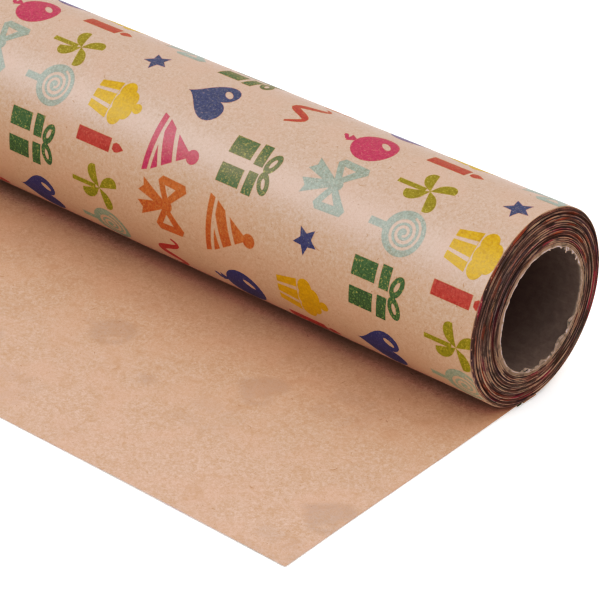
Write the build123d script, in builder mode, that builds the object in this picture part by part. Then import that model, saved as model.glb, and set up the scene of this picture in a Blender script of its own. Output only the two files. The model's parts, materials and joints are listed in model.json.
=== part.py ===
"""Gift wrap roll: kraft paper wound on a cardboard core, its free end laid flat in front.

Frame: X runs along the roll, +Y is behind it, +Z is up, and z = 0 is the table that the
laid end rests on. The origin is the middle of the footprint. All sizes in millimetres.

The paper is one continuous sheet, 10 m long. A piece here can't bend, so the sheet is
divided where its state changes: the flat end, the strip in the nip under the roll, and
the wound laps, which stand out unevenly at the roll's ends in bands.
"""

import os
from math import pi, sin

from build123d import *

# The sheet
paper_width = 445.0
sheet_length = 10000.0
paper_thickness = 0.10
laid_length = 89.0

# The core, a spirally wound tube of glued board plies
bore_diameter = 31.0
ply_names = ["core_inner_ply", "core_middle_ply", "core_outer_ply"]
ply_thickness = 0.4

# The roll
roll_diameter = 50.0
outer_turns_thickness = 0.4
band_count = 12
telescope = 1.4  # how far the core stands out past the outermost lap
unevenness = 0.2  # how far a band strays from an even cone
nip_clearance = 0.25  # air between the roll and the sheet that it lies on
nip_half_width = 2.5

# The glue that holds the first lap to the core
glue_width = 12.0
glue_thickness = 0.2
glue_length = 415.0

# Worked out from the above
roll_radius = roll_diameter / 2
bore_radius = bore_diameter / 2
core_radius = bore_radius + len(ply_names) * ply_thickness
band_thickness = (roll_radius - outer_turns_thickness - core_radius) / band_count
front_edge = -(laid_length + roll_radius) / 2
axis_y = front_edge + laid_length
axis_z = paper_thickness + nip_clearance + roll_radius


def cross_plane(x):
    """The plane across the roll at x, with its origin on the roll's axis."""
    return Plane(origin=(x, axis_y, axis_z), x_dir=(0, 1, 0), z_dir=(1, 0, 0))


def save(piece, label):
    """Label a finished piece and write it to its own file."""
    piece.part.label = label
    export_step(piece.part, f"parts/{label}.step")


def flat_sheet(label, y_low, y_high):
    """A flat stretch of the sheet on the table, over the paper's whole width."""
    with BuildPart() as sheet:
        with BuildSketch(Plane.XY):
            with Locations((-telescope / 2, (y_low + y_high) / 2)):
                Rectangle(paper_width, y_high - y_low)
        extrude(amount=paper_thickness)
    save(sheet, label)


def rolled_layer(label, inner_radius, thickness, shift, recess=None):
    """A tube of laps or of core board, slid along the axis by shift."""
    with BuildPart() as layer:
        with BuildSketch(cross_plane(shift - paper_width / 2)):
            Circle(inner_radius + thickness)
            Circle(inner_radius, mode=Mode.SUBTRACT)
        extrude(amount=paper_width)
        if recess:
            add(recess, mode=Mode.SUBTRACT)
    save(layer, label)


def band_shift(band):
    """How far a band of laps has slid along the core, the inner ones furthest."""
    depth = (band + 1) / (band_count + 1)
    return telescope * (0.5 - depth) + unevenness * sin(2.4 * band)


os.makedirs("parts", exist_ok=True)

# The flat end of the sheet, and the strip of it that the roll lies on
flat_sheet("laid_flap", front_edge, axis_y - nip_half_width)
flat_sheet("nip_strip", axis_y - nip_half_width, axis_y + nip_half_width)

# The core's plies, from the bore outwards
for number, ply_name in enumerate(ply_names):
    rolled_layer(ply_name, bore_radius + number * ply_thickness, ply_thickness, telescope / 2)

# The glue line between the core and the first lap, a thin arc at the core's underside
with BuildPart() as glue_line:
    with BuildSketch(cross_plane(-glue_length / 2)):
        Circle(core_radius + glue_thickness)
        Circle(core_radius, mode=Mode.SUBTRACT)
        with Locations((0, -core_radius)):
            Rectangle(glue_width, core_radius, mode=Mode.INTERSECT)
    extrude(amount=glue_length)
save(glue_line, "start_glue_line")

# The wound laps, from the core outwards
for band in range(band_count):
    rolled_layer(
        f"paper_laps_{band + 1:02d}",
        core_radius + band * band_thickness,
        band_thickness,
        band_shift(band),
        recess=glue_line.part if band == 0 else None,
    )
rolled_layer(
    "outer_laps",
    roll_radius - outer_turns_thickness,
    outer_turns_thickness,
    -telescope / 2,
)

# The lap pitch that the roll's size implies, to compare with the paper's thickness
wound_area = pi * (roll_radius**2 - core_radius**2)
print(f"lap pitch {wound_area / (sheet_length - laid_length):.4f} mm")
print(f"roll axis at y = {axis_y:.2f}, z = {axis_z:.2f}")
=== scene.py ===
"""Looks of the gift wrap roll: printed kraft paper, ragged lap ends, board core, laid sheet."""

import json
from collections import defaultdict
from functools import lru_cache
from itertools import product
from math import ceil, cos, hypot, pi, radians, sin, tau

import bpy
import numpy as np
from mathutils import Matrix, Vector, noise
from mathutils.geometry import delaunay_2d_cdt


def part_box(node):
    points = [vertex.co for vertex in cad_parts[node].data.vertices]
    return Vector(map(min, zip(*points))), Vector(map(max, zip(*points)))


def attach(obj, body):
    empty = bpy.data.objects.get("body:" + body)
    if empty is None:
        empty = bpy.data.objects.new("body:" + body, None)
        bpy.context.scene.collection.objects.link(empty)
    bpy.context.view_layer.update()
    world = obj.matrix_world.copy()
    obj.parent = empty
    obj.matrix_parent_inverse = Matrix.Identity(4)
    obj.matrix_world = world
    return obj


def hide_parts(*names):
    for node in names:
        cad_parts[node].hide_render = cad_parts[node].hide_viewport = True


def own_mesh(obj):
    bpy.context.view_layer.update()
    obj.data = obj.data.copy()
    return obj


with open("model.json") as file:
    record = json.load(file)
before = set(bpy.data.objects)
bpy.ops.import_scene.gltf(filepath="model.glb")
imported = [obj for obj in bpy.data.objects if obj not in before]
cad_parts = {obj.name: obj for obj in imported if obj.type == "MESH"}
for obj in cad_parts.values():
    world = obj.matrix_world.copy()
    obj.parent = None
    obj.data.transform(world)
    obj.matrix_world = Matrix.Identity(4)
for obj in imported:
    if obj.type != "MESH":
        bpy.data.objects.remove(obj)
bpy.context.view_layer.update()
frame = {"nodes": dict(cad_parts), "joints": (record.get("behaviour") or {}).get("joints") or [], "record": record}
MM = 0.001

# ---------------------------------------------------------------- places, from the frame
roll_low, roll_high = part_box("outer_laps")
flap_low, flap_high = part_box("laid_flap")
nip_low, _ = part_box("nip_strip")
core_low, core_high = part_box("core_outer_ply")

ROLL_RADIUS = (roll_high.y - roll_low.y) / 2
CORE_RADIUS = (core_high.y - core_low.y) / 2
AXIS_Y = (roll_high.y + roll_low.y) / 2
AXIS_Z = (roll_high.z + roll_low.z) / 2
NEAR_X, FAR_X = roll_high.x, roll_low.x
ROUND = tau * ROLL_RADIUS
BORE_RADIUS = frame["record"]["mounts"][0]["dims"]["r_mm"] * MM
LAID_LENGTH = AXIS_Y - flap_low.y
PAPER = flap_high.z - flap_low.z
TRAVEL = next(j for j in frame["joints"] if j["name"] == "wind_travel")["range_m"][1]


# ---------------------------------------------------------------- surfaces of the sheet
# A place on the sheet is u, its distance along the sheet from the nip (positive on the
# roll, negative on the laid end), and x, its place across the sheet.
def ripple(a, b, size, seed):
    """Smooth noise from -1 to 1 whose bumps are about size across."""
    return noise.noise(Vector((a / size, b / size, seed)))


def roll_bulge(u, x):
    """How far the wound paper stands off a true cylinder: slight slack between laps."""
    turn = u / ROLL_RADIUS
    slack = noise.noise(Vector((x / 0.09, cos(turn) * 1.1, sin(turn) * 1.1)))
    fine = noise.noise(Vector((x / 0.025, cos(turn) * 3.0, sin(turn) * 3.0 + 7)))
    return 0.07 * MM * slack + 0.018 * MM * fine


def roll_point(u, x, off):
    """The point off outwards from the wound paper's printed face."""
    turn = u / ROLL_RADIUS
    r = ROLL_RADIUS + roll_bulge(u, x) - 0.05 * MM + off
    return (x, AXIS_Y + r * sin(turn), AXIS_Z - r * cos(turn))


def lay_height(u, x):
    """Height of the laid sheet's underside above the table: almost flat, its edge lifted."""
    along = (u + LAID_LENGTH) / LAID_LENGTH  # 0 at the free edge, 1 at the nip
    edge = max(0.0, 1 - along / 0.35)
    corner = max(0.0, 1 - (NEAR_X - x) / 0.12)
    swell = 0.13 * ripple(x, u, 0.085, 3.0) + 0.07 * ripple(x, u, 0.03, 9.0)
    calm = 1 - max(0.0, (along - 0.7) / 0.3)
    lift = (0.08 + 0.10 * ripple(x, 0.0, 0.04, 6.0) + 0.06 * corner) * edge**2
    return MM * (0.06 + 0.14 * (1 - calm) + calm * max(0.0, 0.15 + swell) + lift)


def laid_point(u, x, off):
    """The point off below the laid sheet's printed underside."""
    return (x, AXIS_Y + u, lay_height(u, x) - off)


# ---------------------------------------------------------------- print: outlines
# The print stands in lines that run round the roll. Each line repeats one row of party
# shapes. A shape is a list of solid outlines, each with its holes, in millimetres: x runs
# along the line and y across it, up to LINE_HEIGHT.
LINE_HEIGHT = 15.7


def oval(cx, cy, rx, ry, tilt=0.0, points=28):
    c, s = cos(radians(tilt)), sin(radians(tilt))
    ring = [(rx * cos(tau * k / points), ry * sin(tau * k / points)) for k in range(points)]
    return [(cx + c * x - s * y, cy + s * x + c * y) for x, y in ring]


def block(x0, y0, x1, y1):
    return [(x0, y0), (x1, y0), (x1, y1), (x0, y1)]


def mirrored(outline, centre):
    return [(2 * centre - x, y) for x, y in outline][::-1]


def stroke(centreline, width):
    """A strip along a line of points; width gives its half-width from 0 to 1 along it."""
    left, right = [], []
    last = len(centreline) - 1
    for k, (x, y) in enumerate(centreline):
        (ax, ay), (bx, by) = centreline[max(k - 1, 0)], centreline[min(k + 1, last)]
        length = hypot(bx - ax, by - ay)
        nx, ny = -(by - ay) / length, (bx - ax) / length
        w = width(k / last)
        left.append((x + nx * w, y + ny * w))
        right.append((x - nx * w, y - ny * w))
    return left + right[::-1]


def gift():
    """A parcel: panels and lid each side of a ribbon, and a bow of two loops."""
    solids = []
    for x in (0.0, 7.6):
        solids.append((block(x + 0.5, 0, x + 5.4, 7.0), []))
        solids.append((block(x, 8.3, x + 5.9, 11.2), []))
    loop = oval(4.1, 13.5, 3.0, 1.75, -22)
    hole = oval(4.0, 13.5, 1.4, 0.55, -22)
    solids.append((loop, [hole]))
    solids.append((mirrored(loop, 6.75), [mirrored(hole, 6.75)]))
    return solids


def party_hat():
    """A cone with slanting stripes, a brim and a pompom."""
    gaps = [[(-1, y), (18, y + 7.0), (18, y + 8.3), (-1, y + 1.3)] for y in (-0.8, 4.0)]
    cone = [(1.3, 2.7), (14.8, 2.7), (8.05, 13.6)]
    brim = [(0.3, 0), (15.8, 0), (15.2, 1.7), (0.9, 1.7)]
    return [(cone, gaps), (brim, []), (oval(8.05, 13.8, 1.9, 1.9), [])]


def balloon():
    """A balloon with a highlight, a knot and a short string."""
    string = [(6.25 + 0.7 * sin(k * 1.1), 2.6 - 0.52 * k) for k in range(6)]
    return [
        (oval(6.25, 9.75, 5.9, 5.95), [oval(4.3, 11.7, 0.9, 2.0, -35)]),
        ([(4.7, 1.9), (7.8, 1.9), (6.25, 4.6)], []),
        (stroke(string, lambda t: 0.5), []),
    ]


def bow():
    """A tied ribbon: two wings, a knot and two tails."""
    wing = [(6.5, 10.6), (2.0, 15.4), (0.3, 14.6), (0.0, 7.2), (1.4, 6.0), (6.5, 8.4)]
    hole = [(5.0, 9.7), (2.3, 11.9), (2.1, 8.3)]
    tail = [(6.2, 8.6), (8.1, 8.2), (5.9, 0.0), (4.3, 1.7), (2.2, 1.2)]
    return [
        (wing, [hole]),
        (mirrored(wing, 7.3), [mirrored(hole, 7.3)]),
        (tail, []),
        (mirrored(tail, 7.3), []),
        (oval(7.3, 9.4, 1.7, 2.0, points=16), []),
    ]


def star():
    """A plump five-pointed star."""
    tips = []
    for k in range(10):
        reach = 3.75 if k % 2 == 0 else 1.75
        turn = tau * k / 10 + radians(2)
        tips.append((3.2 + reach * cos(turn), LINE_HEIGHT / 2 + reach * sin(turn)))
    return [(tips, [])]


def cupcake():
    """A pleated case, scalloped icing and a cherry."""
    pleat = [(4.3, -1), (5.05, -1), (4.5, 6.2), (3.35, 6.2)]
    case = [(2.3, 0), (9.9, 0), (11.3, 6.3), (0.9, 6.3)]
    icing = [(2.7, 8.9, 2.7), (6.1, 8.9, 2.9), (9.5, 8.9, 2.7), (4.6, 11.2, 2.5), (7.6, 11.2, 2.5)]
    solids = [(case, [pleat, mirrored(pleat, 6.1)])]
    solids += [(oval(x, y, r, 0.82 * r), []) for x, y, r in icing]
    return solids + [(oval(6.1, 14.3, 1.4, 1.4, points=18), [])]


def candle():
    """A candle with its flame."""
    left = [(0.75, 13.9), (0.6, 12.9), (1.2, 12.0)]
    flame = [(1.85, LINE_HEIGHT)] + left + mirrored(left, 1.85)
    return [(block(0, 0, 3.7, 11.2), []), (flame, [])]


def pinwheel():
    """Four folded vanes on a stick."""
    solids = [(block(5.85, 0, 7.15, 8.0), [])]
    for k in range(4):
        vane = [(0, 0)]
        for t in np.linspace(0, 1, 12):
            reach = 6.1 + 0.9 * sin(pi * t) - 3.6 * t * t
            turn = radians(16 + 50 * t + 90 * k)
            vane.append((reach * cos(turn), reach * sin(turn)))
        solids.append(([(6.45 + x, 9.3 + y) for x, y in vane], []))
    return solids


def lollipop():
    """A swirled disc on a stick."""
    swirl = []
    for k in range(44):
        turn, reach = 0.36 * k, 0.7 + 0.088 * k
        swirl.append((5.95 + reach * cos(turn), 10.0 + reach * sin(turn)))
    groove = stroke(swirl, lambda t: 0.30 + 0.12 * sin(pi * t))
    return [(oval(5.95, 10.0, 5.8, 5.7, points=36), [groove]), (block(5.0, 0, 6.9, 4.9), [])]


def heart():
    """A heart with a highlight."""
    outline = []
    for k in range(40):
        t = tau * k / 40
        y = 13 * cos(t) - 5 * cos(2 * t) - 2 * cos(3 * t) - cos(4 * t)
        outline.append((6.7 + 6.7 * sin(t) ** 3, 8.4 + 0.47 * y))
    return [(outline, [oval(3.4, 11.0, 0.9, 1.7, -35)])]


def streamer():
    """A wavy paper streamer, thin at its ends."""
    wave = []
    for k in range(25):
        t = k / 24
        wave.append((13.0 * t, LINE_HEIGHT / 2 + 3.9 * sin(3 * pi * t + 0.5) * (1 - 0.35 * t)))
    return [(stroke(wave, lambda t: 0.30 + 0.75 * sin(pi * t)), [])]


# One row of the print: shape, ink, its width and the gap after it, in millimetres
ROW = [
    (gift, "green", 13.5, 2.5),
    (party_hat, "orange", 16.1, 2.3),
    (balloon, "navy", 12.5, 3.5),
    (balloon, "magenta", 12.5, 1.2),
    (bow, "aqua", 14.6, 4.7),
    (star, "navy", 6.9, 5.95),
    (cupcake, "yellow", 12.2, 3.0),
    (candle, "red", 3.7, 3.8),
    (pinwheel, "lime", 12.9, -0.05),
    (lollipop, "aqua", 11.9, 2.35),
    (gift, "green", 13.5, 3.85),
    (heart, "navy", 13.4, 1.6),
    (party_hat, "magenta", 16.1, -1.1),
    (bow, "orange", 14.6, 2.5),
    (streamer, "red", 13.0, 8.75),
]
ROW_LENGTH = sum(width + gap for _, _, width, gap in ROW)
WIDTHS = {drawing: width for drawing, _, width, _ in ROW}
LINE_PITCH = 22.6
FIRST_LINE = 13.3  # from the near edge of the paper to the first line's foot
LINE_STARTS = (225.7, 192.7, 22.4, 91.2, 147.2)  # where each line's row starts, then repeats
LINES = ceil((NEAR_X - FAR_X) / MM / LINE_PITCH) + 1


def shapes_between(u_low, u_high):
    """Each shape that meets a stretch of the sheet: (drawing, ink, line, u of its left)."""
    for line in range(LINES):
        start = LINE_STARTS[line % len(LINE_STARTS)]
        row = int((u_low - start) // ROW_LENGTH) - 1
        while start + row * ROW_LENGTH < u_high:
            u = start + row * ROW_LENGTH
            for drawing, ink, width, gap in ROW:
                if u + width > u_low and u < u_high:
                    yield drawing, ink, line, u
                u += width + gap
            row += 1


def line_foot(line):
    """The x of a line's foot, in millimetres."""
    return NEAR_X / MM - FIRST_LINE - LINE_PITCH * line


def shapes_round_roll():
    """The shapes round the roll. Where its last lap meets its first, whole ones win."""
    lap = ROUND / MM
    whole = [s for s in shapes_between(0.0, lap) if s[3] + WIDTHS[s[0]] < lap]
    overhang = {s[2]: s[3] for s in whole if s[3] < 0}
    for shape in whole:
        drawing, _, line, u = shape
        if u < 0 or u + WIDTHS[drawing] < lap + overhang.get(line, 0.0):
            yield shape


def within(points, outline):
    """Which points lie inside an outline, by counting crossings."""
    found = np.zeros(len(points), bool)
    px, py = points[:, 0], points[:, 1]
    for (x0, y0), (x1, y1) in zip(outline, outline[1:] + outline[:1]):
        if y0 != y1:
            crosses = (y0 > py) != (y1 > py)
            found ^= crosses & (px < x0 + (py - y0) * (x1 - x0) / (y1 - y0))
    return found


def inked(points, drawing):
    """Which points a drawing covers."""
    found = np.zeros(len(points), bool)
    for outline, holes in drawing():
        solid = within(points, outline)
        for hole in holes:
            solid &= ~within(points, hole)
        found |= solid
    return found


# ---------------------------------------------------------------- print: thin ink meshes
@lru_cache(maxsize=None)
def ink_face(drawing, x_low, x_high, y_high, step):
    """A drawing's face cut into triangles, clipped to a box and to strips that can bend."""
    points, edges = [], []

    def add_loop(loop):
        first = len(points)
        points.extend(Vector(p) for p in loop)
        count = len(loop)
        edges.extend((first + k, first + (k + 1) % count) for k in range(count))

    for outline, holes in drawing():
        add_loop(outline)
        for hole in holes:
            add_loop(hole)
    add_loop(block(x_low, -3.0, x_high, y_high))
    for k in range(int(18.0 / step)):
        first = len(points)
        points.extend((Vector((k * step, -3.0)), Vector((k * step, LINE_HEIGHT + 3))))
        edges.append((first, first + 1))
    flat, _, faces, _, _, _ = delaunay_2d_cdt(points, edges, [], 0, 1e-4)
    flat = np.array([(p.x, p.y) for p in flat])
    faces = np.array([f for f in faces if len(f) == 3])
    middle = flat[faces].mean(axis=1)
    clear = (middle[:, 0] > x_low) & (middle[:, 0] < x_high) & (middle[:, 1] < y_high)
    faces = faces[clear & inked(middle, drawing)]
    if not len(faces):
        return flat[:0], faces, []
    used, renumbered = np.unique(faces, return_inverse=True)
    flat, faces = flat[used], renumbered.reshape(-1, 3)
    a, b = flat[faces[:, 1]] - flat[faces[:, 0]], flat[faces[:, 2]] - flat[faces[:, 0]]
    backward = a[:, 0] * b[:, 1] - a[:, 1] * b[:, 0] < 0
    faces[backward] = faces[backward][:, ::-1]
    sides = defaultdict(int)
    for f in faces:
        for k in range(3):
            sides[(f[k], f[(k + 1) % 3])] += 1
    rim = [pair for pair in sides if pair[::-1] not in sides]
    return flat, faces, rim


INK_HEIGHT = 0.025 * MM
INK_DEPTH = 0.01 * MM
BEND_STEP = 0.9


def ink_mesh(shapes, u_low, u_high, place, step):
    """{ink: (vertices, faces)} of the print on a stretch of the sheet, as thin closed solids."""
    made = defaultdict(lambda: ([], []))
    for drawing, ink, line, u in shapes:
        foot = line_foot(line)
        if foot + LINE_HEIGHT < FAR_X / MM:
            continue
        y_high = min(LINE_HEIGHT + 1, NEAR_X / MM - foot)
        x_low, x_high = max(-1.0, u_low - u), min(19.0, u_high - u)
        flat, faces, rim = ink_face(drawing, round(x_low, 4), round(x_high, 4), round(y_high, 4), step)
        verts, polygons = made[ink]
        first, count = len(verts), len(flat)
        keep = foot >= FAR_X / MM
        for off in (INK_HEIGHT, -INK_DEPTH):
            for x, y in flat:
                across = (foot + y) * MM if keep else max(FAR_X, (foot + y) * MM)
                verts.append(place((u + x) * MM, across, off))
        for a, b, c in faces:
            polygons.append((first + a, first + b, first + c))
            polygons.append((first + count + c, first + count + b, first + count + a))
        for a, b in rim:
            polygons.append((first + b, first + a, first + count + a, first + count + b))
    return made


# ---------------------------------------------------------------- materials
RANGE_ENDS = ("From Min", "From Max", "To Min", "To Max")


class Shader:
    """A material's nodes, with short ways to add and join them."""

    def __init__(self, name):
        self.material = bpy.data.materials.new(name)
        self.material.use_nodes = True
        self.nodes = self.material.node_tree.nodes
        self.surface = self.nodes["Principled BSDF"]
        self.place = self.node("ShaderNodeTexCoord").outputs["Object"]

    def node(self, kind, **settings):
        made = self.nodes.new(kind)
        for key, value in settings.items():
            setattr(made, key, value)
        return made

    def join(self, out, into):
        self.material.node_tree.links.new(out, into)

    def stretched(self, scale):
        mapping = self.node("ShaderNodeMapping")
        mapping.inputs["Scale"].default_value = scale
        self.join(self.place, mapping.inputs["Vector"])
        return mapping.outputs["Vector"]

    def noise(self, scale, detail=2.0, rough=0.5, warp=0.0, vector=None):
        made = self.node("ShaderNodeTexNoise")
        made.inputs["Scale"].default_value = scale
        made.inputs["Detail"].default_value = detail
        made.inputs["Roughness"].default_value = rough
        made.inputs["Distortion"].default_value = warp
        self.join(vector or self.place, made.inputs["Vector"])
        return made.outputs["Fac"]

    def remap(self, value, low, high, to_low=0.0, to_high=1.0):
        made = self.node("ShaderNodeMapRange", interpolation_type="SMOOTHSTEP")
        for key, number in zip(RANGE_ENDS, (low, high, to_low, to_high)):
            made.inputs[key].default_value = number
        self.join(value, made.inputs["Value"])
        return made.outputs["Result"]

    def math(self, operation, a, b=None):
        made = self.node("ShaderNodeMath", operation=operation)
        for socket, value in zip(made.inputs, (a, b)):
            if isinstance(value, (int, float)):
                socket.default_value = value
            elif value is not None:
                self.join(value, socket)
        return made.outputs[0]

    def mix(self, factor, a, b, blend="MIX"):
        made = self.node("ShaderNodeMix", data_type="RGBA", blend_type=blend)
        for name, value in (("Factor_Float", factor), ("A_Color", a), ("B_Color", b)):
            socket = next(s for s in made.inputs if s.identifier == name)
            if isinstance(value, (int, float)):
                socket.default_value = value
            elif isinstance(value, tuple):
                socket.default_value = (*value, 1.0)
            else:
                self.join(value, socket)
        return next(s for s in made.outputs if s.identifier == "Result_Color")

    def attribute(self, name, output="Fac"):
        made = self.node("ShaderNodeAttribute", attribute_name=name)
        return made.outputs[output]

    def finish(self, color, roughness, bumps, specular=0.5):
        """bumps is a list of (height, distance in metres), finest last."""
        self.join(color, self.surface.inputs["Base Color"])
        self.join(roughness, self.surface.inputs["Roughness"])
        self.surface.inputs["Specular IOR Level"].default_value = specular
        normal = None
        for height, distance in bumps:
            bump = self.node("ShaderNodeBump")
            bump.inputs["Strength"].default_value = 1.0
            bump.inputs["Distance"].default_value = distance
            self.join(height, bump.inputs["Height"])
            if normal is not None:
                self.join(normal, bump.inputs["Normal"])
            normal = bump.outputs["Normal"]
        self.join(normal, self.surface.inputs["Normal"])
        return self.material


KRAFT_FACE = (0.430, 0.307, 0.237)
KRAFT_BACK = (0.474, 0.315, 0.237)


def tinted(color, r, g=None, b=None):
    """A colour scaled by a share for each channel."""
    return (color[0] * r, color[1] * (g or r), color[2] * (b or r))


def grain(s):
    """The paper's own texture: (cloudy formation, flocks of fibre, fine tooth)."""
    cloud = s.noise(75, 3.0, 0.55, 0.3)
    flock = s.noise(1400, 4.0, 0.70, 0.4)
    tooth = s.noise(3300, 2.0, 0.6)
    return cloud, flock, tooth


def kraft_color(s, base, cloud, flock, tooth, contrast):
    """Brown kraft: cloudy, flecked with paler and darker fibre."""
    dark = tinted(base, 1 - 0.16 * contrast, 1 - 0.22 * contrast, 1 - 0.27 * contrast)
    light = tinted(base, 1 + 0.10 * contrast, 1 + 0.13 * contrast, 1 + 0.16 * contrast)
    color = s.mix(s.remap(flock, 0.27, 0.73), dark, light)
    color = s.mix(s.remap(cloud, 0.40, 0.70, 0.0, 0.55), color, tinted(base, 1.05, 0.965, 0.95))
    pits, tips = tinted(base, 0.68, 0.58, 0.50), tinted(base, 1.22, 1.30, 1.38)
    color = s.mix(s.remap(tooth, 0.52, 0.72, 0.0, 0.45 * contrast), color, pits)
    color = s.mix(s.remap(tooth, 0.30, 0.46, 0.30 * contrast, 0.0), color, tips)
    speck = s.noise(1900, 1.0, 0.4, 1.2)
    return s.mix(s.remap(speck, 0.71, 0.79, 0.0, 0.6), color, (0.15, 0.08, 0.05))


def kraft_print_material():
    s = Shader("kraft_printed_face")
    cloud, flock, tooth = grain(s)
    color = kraft_color(s, KRAFT_FACE, cloud, flock, tooth, 0.75)
    rough = s.remap(flock, 0.3, 0.7, 0.38, 0.54)
    return s.finish(color, rough, [(flock, 0.05 * MM), (tooth, 0.03 * MM)], 0.13)


def kraft_back_material():
    """The unprinted back: rougher, mottled, with the print showing through faintly."""
    s = Shader("kraft_unprinted_back")
    cloud, flock, tooth = grain(s)
    color = kraft_color(s, KRAFT_BACK, cloud, flock, tooth, 1.0)
    blotch = s.noise(210, 4.0, 0.6, 0.9)
    color = s.mix(s.remap(blotch, 0.50, 0.74, 0.0, 0.34), color, tinted(KRAFT_BACK, 0.76, 0.66, 0.58))
    ghost = s.math("MULTIPLY", s.attribute("show_through"), s.remap(flock, 0.35, 0.65, 0.45, 1.0))
    color = s.mix(ghost, color, (0.20, 0.165, 0.150))
    edge = s.math("MULTIPLY", s.attribute("cut_edge"), s.remap(flock, 0.35, 0.6, 0.3, 0.9))
    color = s.mix(edge, color, (0.40, 0.31, 0.25))
    rough = s.remap(flock, 0.3, 0.7, 0.66, 0.84)
    return s.finish(color, rough, [(blotch, 0.05 * MM), (flock, 0.05 * MM), (tooth, 0.035 * MM)], 0.15)


# Each ink, and the paler tone where the paper's tooth breaks through it
INKS = {
    "green": ((0.070, 0.102, 0.049), (0.26, 0.28, 0.10)),
    "orange": ((0.348, 0.110, 0.037), (0.40, 0.18, 0.08)),
    "navy": ((0.062, 0.060, 0.138), (0.15, 0.13, 0.18)),
    "magenta": ((0.335, 0.046, 0.103), (0.40, 0.11, 0.14)),
    "aqua": ((0.208, 0.262, 0.217), (0.34, 0.34, 0.27)),
    "yellow": ((0.428, 0.248, 0.005), (0.44, 0.28, 0.03)),
    "red": ((0.300, 0.055, 0.039), (0.36, 0.10, 0.07)),
    "lime": ((0.184, 0.173, 0.018), (0.36, 0.31, 0.07)),
}


def ink_material(ink):
    """Flexo ink on kraft: the paper's flocks and tooth break through it."""
    solid, worn = INKS[ink]
    s = Shader(f"ink_{ink}")
    cloud, flock, tooth = grain(s)
    color = s.mix(s.remap(flock, 0.32, 0.68), tinted(solid, 0.78), tinted(solid, 1.16))
    color = s.mix(s.remap(cloud, 0.35, 0.7, 0.0, 0.25), color, tinted(solid, 0.82))
    pit = s.noise(2300, 2.0, 0.62, 0.6)
    color = s.mix(s.remap(pit, 0.54, 0.68, 0.0, 0.80), color, worn)
    color = s.mix(s.remap(tooth, 0.24, 0.40, 0.45, 0.0), color, tinted(solid, 0.55))
    rough = s.remap(flock, 0.3, 0.7, 0.36, 0.52)
    return s.finish(color, rough, [(flock, 0.05 * MM), (tooth, 0.04 * MM)], 0.12)


def lap_edge_material():
    """Cut edges of the laps: each lap's own tint with its painted light, painted shade and painted highlights,
    with streaks that run along the laps.
    """
    s = Shader("cut_lap_edges")
    tint_and_painted_light = s.attribute("lap_tint_and_painted_light", "Color")
    along = s.attribute("streak_place", "Vector")
    fine = s.noise(2600, 3.0, 0.65, 0.3, along)
    patch = s.noise(700, 3.0, 0.6, 0.6, along)
    tooth = s.noise(3000, 2.0, 0.6)
    color = s.mix(s.remap(fine, 0.36, 0.56, 0.58, 0.0), tint_and_painted_light, (0.016, 0.008, 0.006))
    color = s.mix(s.remap(patch, 0.52, 0.70, 0.0, 0.45), color, (0.19, 0.075, 0.048))
    color = s.mix(s.remap(tooth, 0.56, 0.74, 0.0, 0.25), color, (0.30, 0.18, 0.125))
    rough = s.remap(fine, 0.3, 0.7, 0.60, 0.85)
    return s.finish(color, rough, [(patch, 0.05 * MM), (fine, 0.04 * MM)], 0.15)


# Each board of the core: its own tone, its darker mottle, and its tone where it is torn
LINER_BOARD = ((0.186, 0.138, 0.110), (0.154, 0.113, 0.091), (0.440, 0.375, 0.360))
GREY_BOARD = ((0.22, 0.16, 0.12), (0.14, 0.095, 0.07), (0.280, 0.208, 0.174))


def board_material(name, base, dark, pale_end):
    """Chipboard of the core: grey-brown, mottled, paler where it is cut or torn."""
    s = Shader(name)
    mottle = s.noise(420, 4.0, 0.65, 0.4)
    fine = s.noise(1500, 3.0, 0.6)
    streak = s.noise(1.0, 2.0, 0.5, 0.2, s.stretched((160, 1500, 1500)))
    color = s.mix(s.remap(mottle, 0.32, 0.70), dark, base)
    color = s.mix(s.remap(streak, 0.55, 0.8, 0.0, 0.3), color, tuple(min(1, 1.25 * c) for c in base))
    color = s.mix(s.remap(fine, 0.62, 0.80, 0.0, 0.6), color, tuple(0.45 * c for c in base))
    torn = s.math("MULTIPLY", s.attribute("cut_edge"), s.remap(mottle, 0.34, 0.54, 0.25, 1.0))
    color = s.mix(torn, color, pale_end)
    rough = s.remap(fine, 0.3, 0.7, 0.72, 0.92)
    return s.finish(color, rough, [(mottle, 0.12 * MM), (fine, 0.06 * MM)], 0.2)


def fibre_material():
    s = Shader("stray_fibres")
    tone = s.noise(400, 2.0)
    color = s.mix(s.remap(tone, 0.35, 0.65), (0.13, 0.065, 0.035), (0.27, 0.15, 0.085))
    return s.finish(color, s.remap(tone, 0.3, 0.7, 0.7, 0.9), [(tone, 0.02 * MM)], 0.2)


def glue_material():
    s = Shader("dried_glue")
    tone = s.noise(300, 3.0)
    color = s.mix(s.remap(tone, 0.35, 0.65), (0.62, 0.55, 0.42), (0.75, 0.70, 0.58))
    return s.finish(color, s.remap(tone, 0.3, 0.7, 0.25, 0.5), [(tone, 0.05 * MM)], 0.5)


# ---------------------------------------------------------------- pieces
def make_piece(name, verts, faces, body, slot, material, sharp=35):
    """A closed mesh, smooth except at its sharp edges, that rides on a body."""
    mesh = bpy.data.meshes.new(name)
    mesh.from_pydata(verts, [], faces)
    mesh.materials.append(material)
    mesh.shade_smooth()
    mesh.set_sharp_from_angle(angle=radians(sharp))
    piece = bpy.data.objects.new(name, mesh)
    bpy.context.scene.collection.objects.link(piece)
    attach(piece, body)
    return piece


def repaint(node, material):
    """Give a CAD node that stays as it is a material."""
    materials = frame["nodes"][node].data.materials
    materials.clear()
    materials.append(material)


def set_values(piece, name, values):
    """Give a piece's mesh a number for each of its points, for its material to read."""
    made = piece.data.attributes.new(name, "FLOAT", "POINT")
    made.data.foreach_set("value", np.asarray(values, np.float32))


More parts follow.
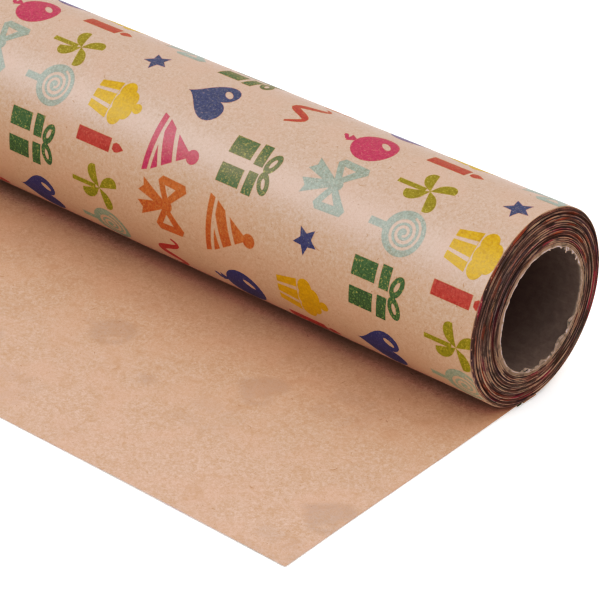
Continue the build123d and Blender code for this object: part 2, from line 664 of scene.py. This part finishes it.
def ring_faces(rings, around):
    """Quads between rings of points, each ring closed and the last joined to the first."""
    faces = []
    for i in range(rings):
        here, after = i * around, (i + 1) % rings * around
        for j in range(around):
            k = (j + 1) % around
            faces.append((here + j, here + k, after + k, after + j))
    return faces


def round_roll(x, radius, turn):
    """A point at a turn about the roll's axis, which starts from the underside."""
    return (x, AXIS_Y + radius * sin(turn), AXIS_Z - radius * cos(turn))


OUTER_LAPS = 0.4 * MM  # thickness of the outermost laps


def outer_wrap(material):
    """The outermost laps: a smooth tube with the slight slack of wound paper."""
    rounds, length_steps = 360, 90
    verts = []
    for step in range(length_steps + 1):
        x = FAR_X + (NEAR_X - FAR_X) * step / length_steps
        verts += [roll_point(ROUND * k / rounds, x, 0.0) for k in range(rounds)]
    for x in (NEAR_X, FAR_X):
        verts += [round_roll(x, ROLL_RADIUS - OUTER_LAPS, tau * k / rounds) for k in range(rounds)]
    faces = [f[::-1] for f in ring_faces(length_steps + 3, rounds)]
    wrap = make_piece("outer_wrap", verts, faces, "roll", "kraft_print", material)
    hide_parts("outer_laps")
    return wrap


# ---------------------------------------------------------------- the roll's end faces
BANDS = 12  # bands of laps under the outermost ones
LAP_PITCH = 0.1097 * MM
RING_STEPS = 360
# Each lap's three rings: how far out through the lap, how sunk in mm, how dark its rim is with painted shade
LAP_SPOTS = ((0.06, 0.10, 0.75), (0.30, 0.0, 0.0), (0.74, 0.0, 0.0))


def edge_inks():
    """The ink at the near cut edge of the sheet, in steps along one row of the print."""
    steps = int(ROW_LENGTH * 2)
    places = np.arange(steps) / 2 + 0.25
    inks = [None] * steps
    u, start = 0.0, LINE_STARTS[0]
    for drawing, ink, width, gap in ROW:
        here = np.stack([places - u, np.full(steps, FIRST_LINE - 0.1)], axis=1)
        for k in np.flatnonzero(inked(here, drawing)):
            inks[int(places[k] + start) * 2 % steps] = ink
            inks[(int(places[k] + start) * 2 + 1) % steps] = ink
        u += width + gap
    return inks


def band_ends():
    """[(inner radius, outer radius, near end, far end)] of each band of laps."""
    found, inner = [], CORE_RADIUS
    for n in range(1, BANDS + 1):
        low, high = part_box(f"paper_laps_{n:02d}")
        outer = (high.y - low.y) / 2
        found.append((inner, outer, high.x, low.x))
        inner = outer
    return found + [(inner, ROLL_RADIUS, NEAR_X, FAR_X)]


def lap_groups(rng, laps):
    """Laps stand out in groups with gaps between: (group, gap, crest, height) of each lap."""
    made, group = [], 0
    while len(made) < laps:
        size = int(rng.integers(4, 9))
        height = rng.normal(0, 0.10)
        for k in range(size):
            gap = 1.0 if k == 0 else 0.8 if k == 1 and size > 4 else 0.0
            crest = 1.0 if k == size - 1 else 0.8 if k == size - 2 else 0.0
            lean = 0.03 * (k - size / 2) + rng.normal(0, 0.02)
            made.append((group, gap, crest, height + lean))
        group += 1
    return made[:laps]


def edge_color(ink, tone, fade, turn, gap, crest, rim):
    """One lap edge's colour: brown, stained by the ink that its cut runs through.

    A gap before the lap or the rim of its cut is darkened with painted shade, and a crest gets a painted
    highlight.
    """
    # painted light and shade: the edges are painted lighter near the underside and in the quarter opposite, with
    # fainter painted gap shade and stronger painted highlights there, and darker between
    painted_light_and_shade = 0.8 * cos(2 * tau * (turn - 0.92)) + 0.35 * cos(tau * turn)
    color = np.array((0.205, 0.108, 0.077)) * (0.44 + 0.5 * tone + 0.25 * fade + 0.25 * painted_light_and_shade)
    if ink:
        stain = np.array(INKS[ink][0])
        share = 0.70 if stain[0] > 2 * stain[1] else 0.35  # the warm inks show most
        color = (1 - share) * color + share * stain * (0.80, 0.65, 0.62)
    # painted shade in the sunk rim of each lap and in the gap before each group of laps
    dark = max(rim * (0.8 - 0.2 * painted_light_and_shade), (0.35 + 0.65 * fade) * (0.85 - 0.15 * painted_light_and_shade) * gap)
    color = color * (1 - 0.93 * dark)
    # painted highlight along the crest of each group of laps
    painted_highlight = max(0.0, 2.8 * fade - 0.65) * (0.65 + 0.35 * painted_light_and_shade) * (1 - rim) * crest
    color = color + min(0.9, painted_highlight) * (np.array((0.50, 0.38, 0.31)) - color)
    return (*np.clip(color, 0, 1), 1.0)


def lap_rings(near, seed):
    """Three rings of points along each lap's cut edge: (points, colours, streak places)."""
    rng = np.random.default_rng(seed)
    side = 1.0 if near else -1.0
    skin = NEAR_X if near else FAR_X
    bands, inks = band_ends(), edge_inks()
    laps = int(round((ROLL_RADIUS - CORE_RADIUS) / LAP_PITCH))
    groups = lap_groups(rng, laps)
    tones = rng.uniform(0, 1, laps)
    verts, colors, streaks = [], [], []
    for lap, (spot, dip, rim) in product(range(laps), LAP_SPOTS):
        depth = (lap + spot) / laps
        group, gap, crest, height = groups[lap]
        after = groups[min(lap + 1, laps - 1)][3]
        mean_radius = CORE_RADIUS + depth * (ROLL_RADIUS - CORE_RADIUS)
        middle = 4 * depth * (1 - depth)  # laps wander most half way out
        slack = (0.03 + 0.2 * middle) * MM
        here = [b for b in bands if b[0] < mean_radius + slack and b[1] > mean_radius - slack]
        end = max(b[2] if near else -b[3] for b in here)
        base = 0.34 - 0.26 * max(0.0, (depth - 0.9) / 0.1)
        group_radius = CORE_RADIUS + group * 5 * LAP_PITCH
        arc = pi * (ROLL_RADIUS**2 - group_radius**2) / LAP_PITCH  # sheet outside the group
        for k in range(RING_STEPS):
            turn = k / RING_STEPS
            c, s = cos(tau * turn), sin(tau * turn)
            wobble = 0.16 * noise.noise(Vector((1.6 * c, 1.6 * s, 5 * depth + seed)))
            radius = mean_radius + wobble * MM * middle
            radius += depth * (roll_bulge(turn * ROUND, skin) - 0.09 * MM)
            sway = 0.05 * noise.noise(Vector((c * 1.3, s * 1.3, lap * 0.35 + seed)))
            fade = 0.5 + 0.5 * noise.noise(Vector((3.2 * c, 3.2 * s, group * 1.7 + seed)))
            reach = base + height * (1 - turn) + after * turn + sway
            reach += 0.07 * fade * crest - dip - 0.24 * (0.4 + fade) * gap
            verts.append(round_roll(side * (end + max(0.03, reach) * MM), radius, tau * turn))
            ink = inks[int((arc - turn * tau * mean_radius) / MM * 2) % len(inks)]
            colors.append(edge_color(ink, tones[lap], fade, turn, gap, crest, rim))
            streaks.append((2 * MM * c, 2 * MM * s, radius))
    return verts, colors, streaks


def lap_edges(name, near, material, seed):
    """All the laps' cut edges at one end, as a ridged ring that follows the bands."""
    verts, colors, streaks = lap_rings(near, seed)
    rings = len(verts) // RING_STEPS
    back = -1.6 * MM if near else 1.6 * MM
    for ring, squeeze in ((rings - 1, -0.05 * MM), (0, 0.0)):
        first = ring * RING_STEPS
        for k in range(RING_STEPS):
            turn = tau * k / RING_STEPS
            x, y, z = verts[first + k]
            verts.append((x + back, y + squeeze * sin(turn), z - squeeze * cos(turn)))
        colors += colors[first:first + RING_STEPS]
        streaks += streaks[first:first + RING_STEPS]
    faces = ring_faces(rings + 2, RING_STEPS)
    if near:
        faces = [f[::-1] for f in faces]
    piece = make_piece(name, verts, faces, "roll", "lap_edges", material, sharp=75)
    # each point's edge colour, with its painted light, painted shade and painted highlights
    layer = piece.data.color_attributes.new("lap_tint_and_painted_light", "FLOAT_COLOR", "POINT")
    layer.data.foreach_set("color", np.array(colors, np.float32).ravel())
    layer = piece.data.attributes.new("streak_place", "FLOAT_VECTOR", "POINT")
    layer.data.foreach_set("vector", np.array(streaks, np.float32).ravel())
    return piece


# ---------------------------------------------------------------- the core
LIP = 0.35 * MM  # how far the torn board stands out past the core's cut


def ply_tube(name, node, inner, outer, material, ragged, seed):
    """One board ply: a tube whose ends are ragged, and pale where the board is torn."""
    low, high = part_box(node)
    rounds = 192

    def torn(turn, end):
        """How far the board is torn back or frayed out here."""
        c, s = cos(turn), sin(turn)
        total = 0.0
        for lobes, share in ((2.2, 0.5), (9.0, 0.4), (26.0, 0.35)):
            total += share * noise.noise(Vector((lobes * c, lobes * s, seed + end * 5 + lobes)))
        return ragged * MM * total

    x_low, x_high = low.x - 0.1 * MM, high.x + LIP
    bevel = 0.10 * MM
    inside = [0.25 * MM, 0.7 * MM, 3 * MM]
    depths = inside + [k * 9 * MM for k in range(1, 49)] + [x_high - x_low - d for d in inside[::-1]]
    # each ring of the profile: place along the core, radius, share of the tear, paleness
    profile = [(x_low, inner + bevel, -1.0, 1.0)]
    for depth in depths:
        rim = min(depth, x_high - x_low - depth)
        share = 0.8 if rim < 0.5 * MM else 0.0
        pale = 0.55 if rim < 0.5 * MM else 0.0
        profile.append((x_low + depth, inner, share * (1 if depth > 0.2 else -1), pale))
    profile.append((x_high, inner + bevel, 1.0, 1.0))
    profile.append((x_high, outer - bevel, 1.0, 1.0))
    profile.append((x_high - 0.3 * MM, outer, 0.7, 0.7))
    profile.append((x_low + 0.3 * MM, outer, -0.7, 0.7))
    profile.append((x_low, outer - bevel, -1.0, 1.0))
    verts, pale_here = [], []
    for x, radius, share, pale in profile:
        end = 1 if share > 0 else 0
        for k in range(rounds):
            turn = tau * k / rounds
            verts.append(round_roll(x + share * torn(turn, end), radius, turn))
            pale_here.append(pale * (0.84 - 0.32 * cos(turn - 0.6)))  # less pale towards the underside
    faces = ring_faces(len(profile), rounds)
    piece = make_piece(name, verts, faces, "roll", "core_board", material, sharp=60)
    set_values(piece, "cut_edge", pale_here)
    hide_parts(node)
    return piece


def swept(verts, faces, sections):
    """Join four-cornered sections into a closed strip; their corners are (x, radius, turn)."""
    first, count = len(verts), len(sections)
    for section in sections:
        verts += [round_roll(x, radius, turn) for x, radius, turn in section]
    for k in range(count - 1):
        a, b = first + 4 * k, first + 4 * (k + 1)
        for j in range(4):
            n = (j + 1) % 4
            faces.append((a + j, a + n, b + n, b + j))
    end = first + 4 * (count - 1)
    faces.append((first + 3, first + 2, first + 1, first))
    faces.append((end, end + 1, end + 2, end + 3))


def core_burrs(material, seed=5):
    """Torn board at the core's near lip: tongues that curl in, and strips peeled inwards."""
    rng = np.random.default_rng(seed)
    verts, faces, cut = [], [], []
    lip = core_high.x + LIP
    for _ in range(58):
        where = rng.choice([0.95, 0.03, 0.13, 0.38, 0.5], p=[0.26, 0.18, 0.32, 0.18, 0.06])
        turn = tau * (where + rng.normal(0, 0.03))
        length = rng.uniform(0.4, 1.9) * MM
        wide = rng.uniform(0.3, 1.6) * MM / BORE_RADIUS
        curl = rng.uniform(0.2, 0.8)
        slew = rng.uniform(-0.3, 0.3)
        thick = rng.uniform(0.07, 0.14) * MM
        sections = []
        for k in range(6):
            t = k / 5
            radius = BORE_RADIUS + 0.18 * MM - curl * length * t * t
            x = lip - 0.45 * MM + 0.70 * length * t * (1 - 0.65 * curl * t)
            half = wide * (1 - 0.6 * t * t) / 2
            middle = turn + slew * wide * t * 2
            low, high = middle - half, middle + half
            outer = radius + thick
            sections.append([(x, radius, low), (x, radius, high), (x, outer, high), (x, outer, low)])
            cut += [0.45 + 0.5 * t] * 4
        swept(verts, faces, sections)
    # each peeled strip: where round the lip and how far along it, in turns, and how deep
    peels = (
        (0.955, 0.05, 0.7), (0.02, 0.03, 0.5), (0.095, 0.06, 0.8), (0.15, 0.04, 0.6),
        (0.40, 0.035, 0.6),
    )
    for where, reach, deep in peels:
        sections = []
        for k in range(15):
            t = k / 14
            turn = tau * (where + reach * (t - 0.5))
            uneven = 1 + 0.5 * noise.noise(Vector((60 * turn, deep, 1.0)))
            radius = BORE_RADIUS + 0.12 * MM - deep * MM * sin(pi * t) ** 0.8 * uneven
            near_x = lip + (0.10 - 0.25 * sin(pi * t) * uneven) * MM
            far_x = near_x - (0.25 + 0.45 * sin(pi * t)) * MM
            outer = radius + 0.1 * MM
            sections.append([(far_x, radius, turn), (far_x, outer, turn),
                             (near_x, outer, turn), (near_x, radius, turn)])
            cut += [0.6, 0.6, 1.0, 1.0]
        swept(verts, faces, sections)
    piece = make_piece("core_burrs", verts, faces, "roll", "core_board", material)
    set_values(piece, "cut_edge", cut)
    return piece


# ---------------------------------------------------------------- the laid sheet
def show_through(points):
    """How strongly the print below shows through the sheet, at points (u, x) in mm."""
    strength = {"navy": 0.46, "green": 0.24, "magenta": 0.08, "red": 0.08, "orange": 0.04}
    found = np.zeros(len(points))
    low = points[:, 0].min()
    for drawing, ink, line, u in shapes_between(low, 0.0):
        foot = line_foot(line)
        near = np.flatnonzero((abs(points[:, 0] - u - 8) < 10) & (abs(points[:, 1] - foot - 8) < 10))
        if not len(near) or ink not in strength:
            continue
        here = points[near] - (u, foot)
        total = np.zeros(len(near))
        blur = 0.7
        for dx, dy in ((0, 0), (blur, 0), (-blur, 0), (0, blur), (0, -blur)):
            total += inked(here + (dx, dy), drawing) / 5
        fade = 0.55 + 0.45 * noise.noise(Vector((u * 0.037, foot * 0.051, 2.0)))
        found[near] = np.maximum(found[near], strength[ink] * fade * total)
    return found


def laid_sheet(material):
    """The free end: a thin closed sheet, almost flat, with a slightly uneven free edge."""
    across = 356
    along = 72
    rim_width = 0.15 * MM
    xs = np.linspace(FAR_X, NEAR_X, across - 1)
    xs = [FAR_X, FAR_X + rim_width, *xs[1:-1], NEAR_X - rim_width, NEAR_X]
    ys = [flap_low.y, *np.linspace(flap_low.y + rim_width, flap_high.y, along)]
    under, over, spots, rim = [], [], [], []
    for j, y in enumerate(ys):
        for i, x in enumerate(xs):
            free = 1 - j / along
            near_side = max(0.0, 1 - (NEAR_X - x) / (20 * MM))
            far_side = max(0.0, 1 - (x - FAR_X) / (20 * MM))
            wander_y = 0.25 * MM * ripple(x, 0.0, 0.05, 1.5) * free**6
            wander_x = near_side * (0.9 * free - 0.35 + 0.2 * ripple(0.0, y, 0.03, 4.5)) * MM
            wander_x += far_side * 0.35 * ripple(0.0, y, 0.04, 8.5) * MM
            if j == 0 and i in (0, across):  # the corners are a little blunt
                wander_x += (0.3 if i == 0 else -0.3) * MM
                wander_y += 0.25 * MM
            px, py = x + wander_x, y + wander_y
            h = lay_height(py - AXIS_Y, px)
            under.append((px, py, h))
            over.append((px, py, h + PAPER))
            spots.append(((py - AXIS_Y) / MM, px / MM))
            rim.append(0.6 if i in (0, across) or j == 0 else 0.0)
    count = len(over)
    verts = over + under
    faces = []
    columns = across + 1
    for j in range(along):
        for i in range(across):
            a = j * columns + i
            faces.append((a, a + 1, a + 1 + columns, a + columns))
            faces.append((count + a + columns, count + a + 1 + columns, count + a + 1, count + a))
    border = [j * columns for j in range(along, 0, -1)] + list(range(columns))
    border += [j * columns + across for j in range(1, along + 1)]
    border += [along * columns + i for i in range(across - 1, 0, -1)]
    for a, b in zip(border, border[1:] + border[:1]):
        faces.append((b, a, count + a, count + b))
    sheet = make_piece("laid_sheet", verts, faces, "sheet", "kraft_back", material)
    ghost = show_through(np.array(spots))
    set_values(sheet, "show_through", np.concatenate([ghost, 0 * ghost]))
    set_values(sheet, "cut_edge", rim * 2)
    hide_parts("laid_flap")
    return sheet


def follow_winding(piece):
    """Give a piece of the laid sheet its own copy of its mesh."""
    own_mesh(piece)


# ---------------------------------------------------------------- stray fibres
def fibres(name, place, u_range, body, count, seed, material):
    """Short dark fibres lying in the paper's face."""
    rng = np.random.default_rng(seed)
    verts, faces = [], []
    for _ in range(count):
        u = rng.uniform(*u_range)
        x = rng.uniform(FAR_X + 3 * MM, NEAR_X - 3 * MM)
        heading = rng.uniform(0, tau)
        bend = rng.normal(0, 0.5)
        length = rng.uniform(0.25, 1.0) ** 2 * 2.2 * MM
        half = rng.uniform(0.03, 0.07) * MM
        first, steps = len(verts), 5
        for off in (0.02 * MM, -0.01 * MM):
            for k in range(steps):
                t = k / (steps - 1) - 0.5
                a = heading + bend * t
                cu, cx = u + length * t * cos(a), x + length * t * sin(a)
                thin = half * (1 - 3.2 * t * t)
                for s in (-1, 1):
                    verts.append(place(cu - s * thin * sin(a), cx + s * thin * cos(a), off))
        low = 2 * steps
        for k in range(steps - 1):
            a = first + 2 * k
            faces.append((a, a + 2, a + 3, a + 1))
            faces.append((low + a, low + a + 1, low + a + 3, low + a + 2))
            faces.append((a, low + a, low + a + 2, a + 2))
            faces.append((a + 1, a + 3, low + a + 3, low + a + 1))
        e = first + 2 * (steps - 1)
        faces.append((first, first + 1, low + first + 1, low + first))
        faces.append((e, low + e, low + e + 1, e + 1))
    return make_piece(name, verts, faces, body, "kraft_print", material)


# ---------------------------------------------------------------- floor, light, camera
def make_floor():
    """A plain pale floor that glows a little, so that shadows on it stay faint."""
    mesh = bpy.data.meshes.new("floor")
    corners = [(x, y, -0.02 * MM) for x, y in block(-12.0, -12.0, 12.0, 12.0)]
    mesh.from_pydata(corners, [], [(0, 1, 2, 3)])
    floor = bpy.data.objects.new("floor", mesh)
    bpy.context.scene.collection.objects.link(floor)
    s = Shader("floor_paint")
    soft = s.noise(3.0, 2.0)
    color = s.mix(s.remap(soft, 0.3, 0.7), (0.90, 0.90, 0.895), (0.92, 0.92, 0.915))
    s.surface.inputs["Emission Color"].default_value = (1.0, 1.0, 1.0, 1.0)
    s.surface.inputs["Emission Strength"].default_value = 0.22
    mesh.materials.append(s.finish(color, s.remap(soft, 0.3, 0.7, 0.85, 0.9), [(soft, 0.001 * MM)], 0.0))


def make_dome():
    """A white dome lights the roll, dimmer towards its horizon; the backdrop is plain white."""
    world = bpy.data.worlds.new("studio")
    bpy.context.scene.world = world
    world.use_nodes = True
    nodes, links = world.node_tree.nodes, world.node_tree.links
    backdrop, dome = nodes["Background"], nodes.new("ShaderNodeBackground")
    for background in (backdrop, dome):
        background.inputs["Color"].default_value = (1.0, 1.0, 1.0, 1.0)
    backdrop.inputs["Strength"].default_value = 1.2
    heading = nodes.new("ShaderNodeTexCoord")
    parts = nodes.new("ShaderNodeSeparateXYZ")
    climb = nodes.new("ShaderNodeMapRange")
    climb.interpolation_type = "SMOOTHSTEP"
    for key, number in zip(RANGE_ENDS, (0.05, 0.80, 0.50, 1.775)):
        climb.inputs[key].default_value = number
    links.new(heading.outputs["Generated"], parts.inputs["Vector"])
    links.new(parts.outputs["Z"], climb.inputs["Value"])
    links.new(climb.outputs["Result"], dome.inputs["Strength"])
    choose, ray = nodes.new("ShaderNodeMixShader"), nodes.new("ShaderNodeLightPath")
    links.new(ray.outputs["Is Camera Ray"], choose.inputs["Fac"])
    links.new(dome.outputs["Background"], choose.inputs[1])
    links.new(backdrop.outputs["Background"], choose.inputs[2])
    links.new(choose.outputs["Shader"], nodes["World Output"].inputs["Surface"])


def make_soft_box():
    """A long soft box, high in front of the roll, only for the satin highlight along it."""
    data = bpy.data.lights.new("soft_box", "AREA")
    data.shape, data.size, data.size_y, data.energy = "RECTANGLE", 2.6, 0.36, 75.0
    lamp = bpy.data.objects.new("soft_box", data)
    lamp.location = (-0.5, -0.58, 0.82)
    lamp.rotation_euler = (radians(35), 0, 0)
    lamp.visible_diffuse = False
    bpy.context.scene.collection.objects.link(lamp)


def make_camera():
    """The photograph's view, worked out in roll radii from the near end's foot."""
    azimuth, elevation, tilt = radians(40.37), radians(31.14), radians(0.76)
    foot = Vector((NEAR_X, AXIS_Y, AXIS_Z - ROLL_RADIUS))
    eye = foot + ROLL_RADIUS * Vector((12.923, -18.587, 14.661))
    back = Vector((sin(azimuth) * cos(elevation), -cos(azimuth) * cos(elevation), sin(elevation)))
    data = bpy.data.cameras.new("camera")
    data.sensor_width = 36.0
    data.lens = 4.72383 * data.sensor_width
    data.clip_start, data.clip_end = 0.01, 60
    camera = bpy.data.objects.new("camera", data)
    camera.rotation_mode = "QUATERNION"
    camera.location = eye
    level = (-back).to_track_quat("-Z", "Y")
    camera.rotation_quaternion = level @ Matrix.Rotation(tilt, 3, "Z").to_quaternion()
    bpy.context.scene.collection.objects.link(camera)
    bpy.context.scene.camera = camera


# The photograph's tones: shadows deepen and turn warmer, upper tones stay as they are
RED_TONES = (
    (0.05, 0.019), (0.10, 0.048), (0.15, 0.104), (0.20, 0.188),
    (0.26, 0.272), (0.34, 0.360), (0.46, 0.485), (0.70, 0.705),
)
GREEN_TONES = (
    (0.05, 0.016), (0.09, 0.042), (0.15, 0.113), (0.20, 0.163),
    (0.30, 0.262), (0.46, 0.455), (0.70, 0.700),
)
BLUE_TONES = (
    (0.05, 0.017), (0.10, 0.054), (0.18, 0.112), (0.25, 0.178),
    (0.29, 0.232), (0.36, 0.340), (0.46, 0.465), (0.70, 0.700),
)


def set_tone():
    """A tone curve for red, green and blue."""
    view = bpy.context.scene.view_settings
    view.view_transform = "Standard"
    view.use_curve_mapping = True
    for curve, places in zip(view.curve_mapping.curves, (RED_TONES, GREEN_TONES, BLUE_TONES)):
        for place in places:
            curve.points.new(*place)
    view.curve_mapping.update()


# ---------------------------------------------------------------- making
make_camera()
set_tone()
make_floor()
make_dome()
make_soft_box()

print_face, print_back = kraft_print_material(), kraft_back_material()
edge_paint, fibre_paint = lap_edge_material(), fibre_material()
liner = board_material("core_liner_board", *LINER_BOARD)
board = board_material("core_grey_board", *GREY_BOARD)

outer_wrap(print_face)
roll_print = ink_mesh(shapes_round_roll(), -20.0, ROUND / MM, roll_point, BEND_STEP)
laid_low, laid_high = 0.3 - LAID_LENGTH / MM, (nip_low.y - AXIS_Y) / MM
laid_print = ink_mesh(shapes_between(laid_low, laid_high), laid_low, laid_high, laid_point, 3.0)
for ink in INKS:
    paint = ink_material(ink)
    make_piece(f"print_{ink}_roll", *roll_print[ink], "roll", "print_ink", paint)
    if ink in laid_print:
        under = make_piece(f"print_{ink}_laid", *laid_print[ink], "sheet", "print_ink", paint)
        follow_winding(under)

lap_edges("lap_edges_near", True, edge_paint, 11)
lap_edges("lap_edges_far", False, edge_paint, 23)

plies = [
    ("core_liner", "core_inner_ply", liner, 0.45),
    ("core_board_middle", "core_middle_ply", board, 0.30),
    ("core_board_outer", "core_outer_ply", board, 0.35),
]
ply = (CORE_RADIUS - BORE_RADIUS) / len(plies)
for k, (name, node, material, ragged) in enumerate(plies):
    inner = BORE_RADIUS + k * ply
    ply_tube(name, node, inner, inner + ply, material, ragged, k + 1)
core_burrs(liner)

sheet = laid_sheet(print_back)
fibres("fibres_roll", roll_point, (0.0, ROUND), "roll", 260, 31, fibre_paint)
fibres_laid = fibres(
    "fibres_laid", lambda u, x, off: laid_point(u, x, -PAPER - off),
    (-LAID_LENGTH + 2 * MM, -4 * MM), "sheet", 150, 37, fibre_paint,
)
for piece in (sheet, fibres_laid):
    follow_winding(piece)

repaint("nip_strip", print_back)
repaint("start_glue_line", glue_material())
for n in range(1, BANDS + 1):
    repaint(f"paper_laps_{n:02d}", print_face)
